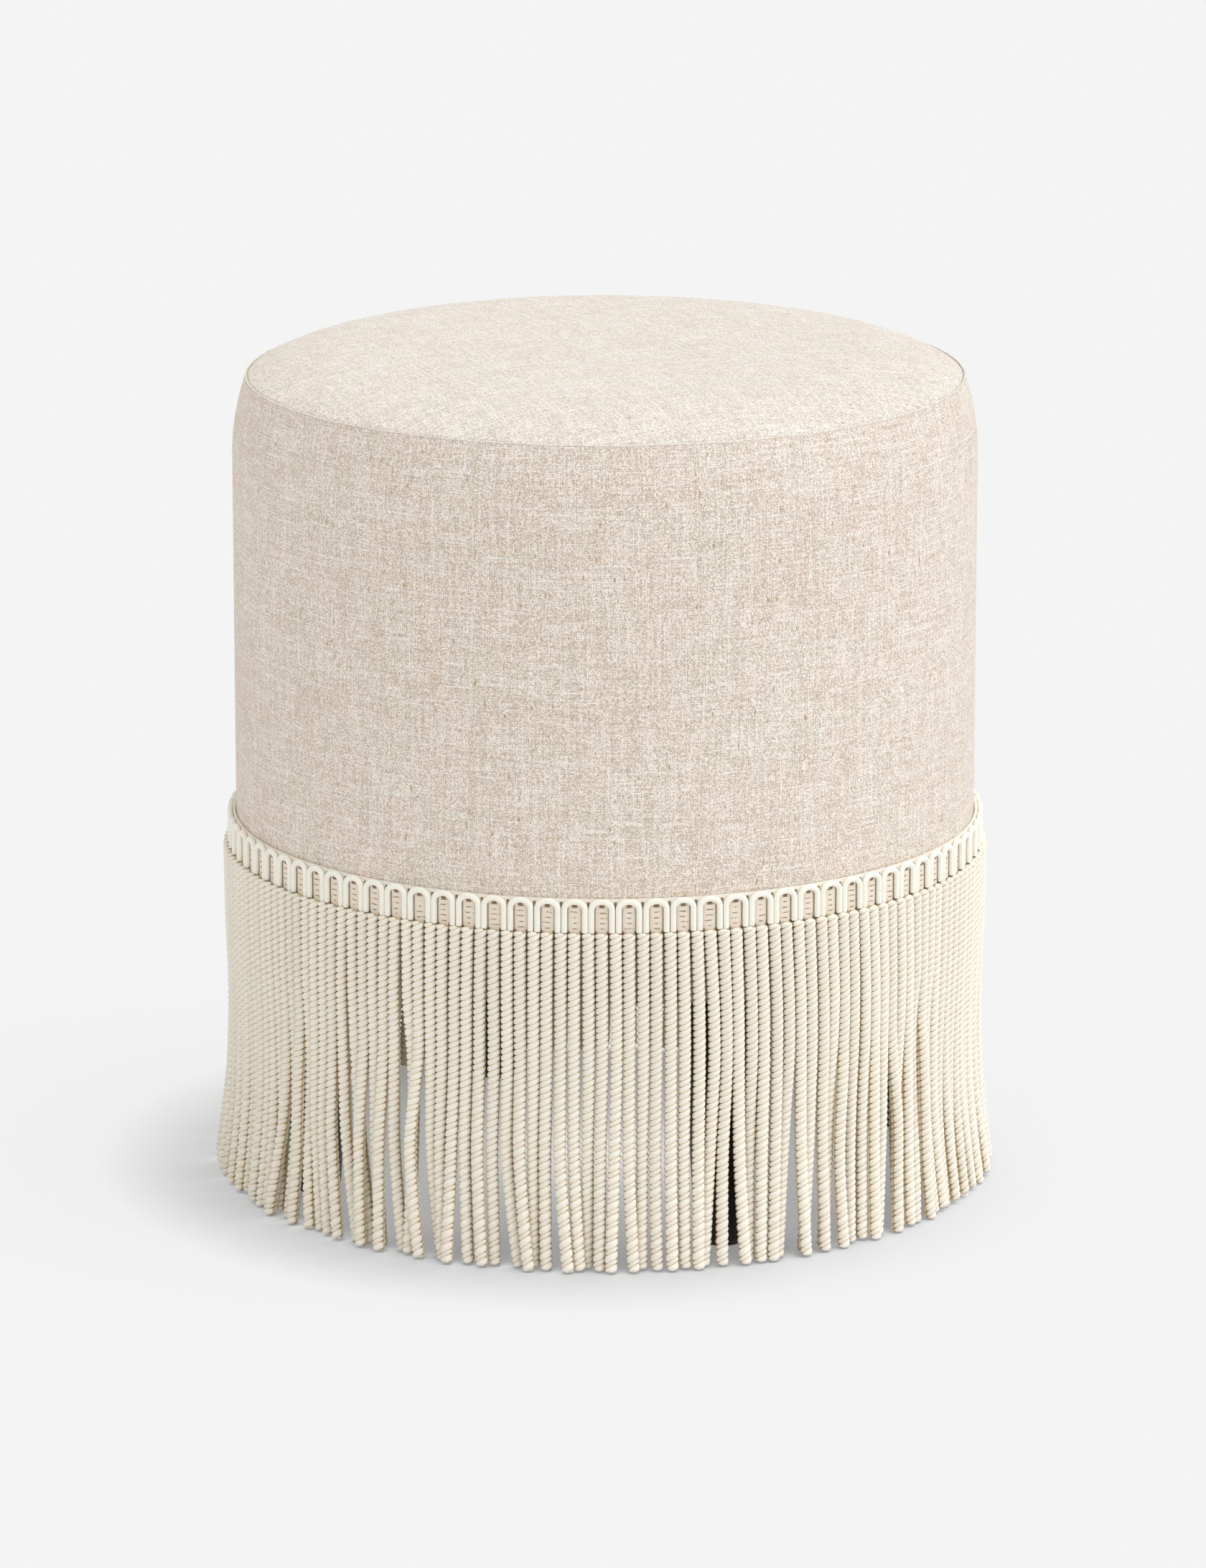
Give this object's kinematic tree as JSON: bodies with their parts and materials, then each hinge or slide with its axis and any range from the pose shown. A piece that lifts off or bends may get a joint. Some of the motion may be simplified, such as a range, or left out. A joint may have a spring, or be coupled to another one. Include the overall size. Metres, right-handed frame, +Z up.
{
  "type": "round ottoman",
  "caption": "Round upholstered ottoman with a crowned seat, a seam round its shoulder and a looped bullion fringe that hangs to the floor over dark tapered legs.",
  "frame": {"origin": "on the floor, at the middle of the ottoman", "axes": "+Z up through the middle of the seat; the legs stand on the diagonals between X and Y; the butt joint of the drum's hardboard faces +Y"},
  "size_m": [0.4268, 0.4268, 0.4621],
  "materials": {
    "cover_linen": "matte",
    "fringe_yarn": "matte",
    "leg_wood": "satin",
    "glide_plastic": "matte",
    "plywood": "matte",
    "pine": "matte",
    "hardboard": "matte",
    "foam": "matte",
    "wadding": "matte",
    "dust_cloth": "matte",
    "steel": "satin"
  },
  "bodies": {
    "root": {"top_cover": "cover_linen", "side_cover": "cover_linen", "seat_batting": "wadding", "seat_foam": "foam", "side_padding": "foam", "drum_wall": "hardboard", "seat_board": "plywood", "base_board": "plywood", "frame_post_1": "pine", "frame_post_2": "pine", "frame_post_3": "pine", "frame_post_4": "pine", "frame_post_5": "pine", "frame_post_6": "pine", "seat_board_screws": "steel", "base_board_screws": "steel", "wall_staples": "steel", "hem_staples": "steel", "dust_cover": "dust_cloth", "dust_cover_staples": "steel", "leg_1": "leg_wood", "leg_2": "leg_wood", "leg_3": "leg_wood", "leg_4": "leg_wood", "leg_glide_1": "glide_plastic", "leg_glide_2": "glide_plastic", "leg_glide_3": "glide_plastic", "leg_glide_4": "glide_plastic", "hanger_bolts": "steel", "t_nuts": "steel", "header_loops": "fringe_yarn", "fringe_01": "fringe_yarn", "fringe_02": "fringe_yarn", "fringe_03": "fringe_yarn", "fringe_04": "fringe_yarn", "fringe_05": "fringe_yarn", "fringe_06": "fringe_yarn", "fringe_07": "fringe_yarn", "fringe_08": "fringe_yarn", "fringe_09": "fringe_yarn", "fringe_10": "fringe_yarn", "fringe_11": "fringe_yarn", "fringe_12": "fringe_yarn", "fringe_13": "fringe_yarn", "fringe_14": "fringe_yarn", "fringe_15": "fringe_yarn", "fringe_16": "fringe_yarn", "fringe_17": "fringe_yarn", "fringe_18": "fringe_yarn"}
  },
  "joints": []
}
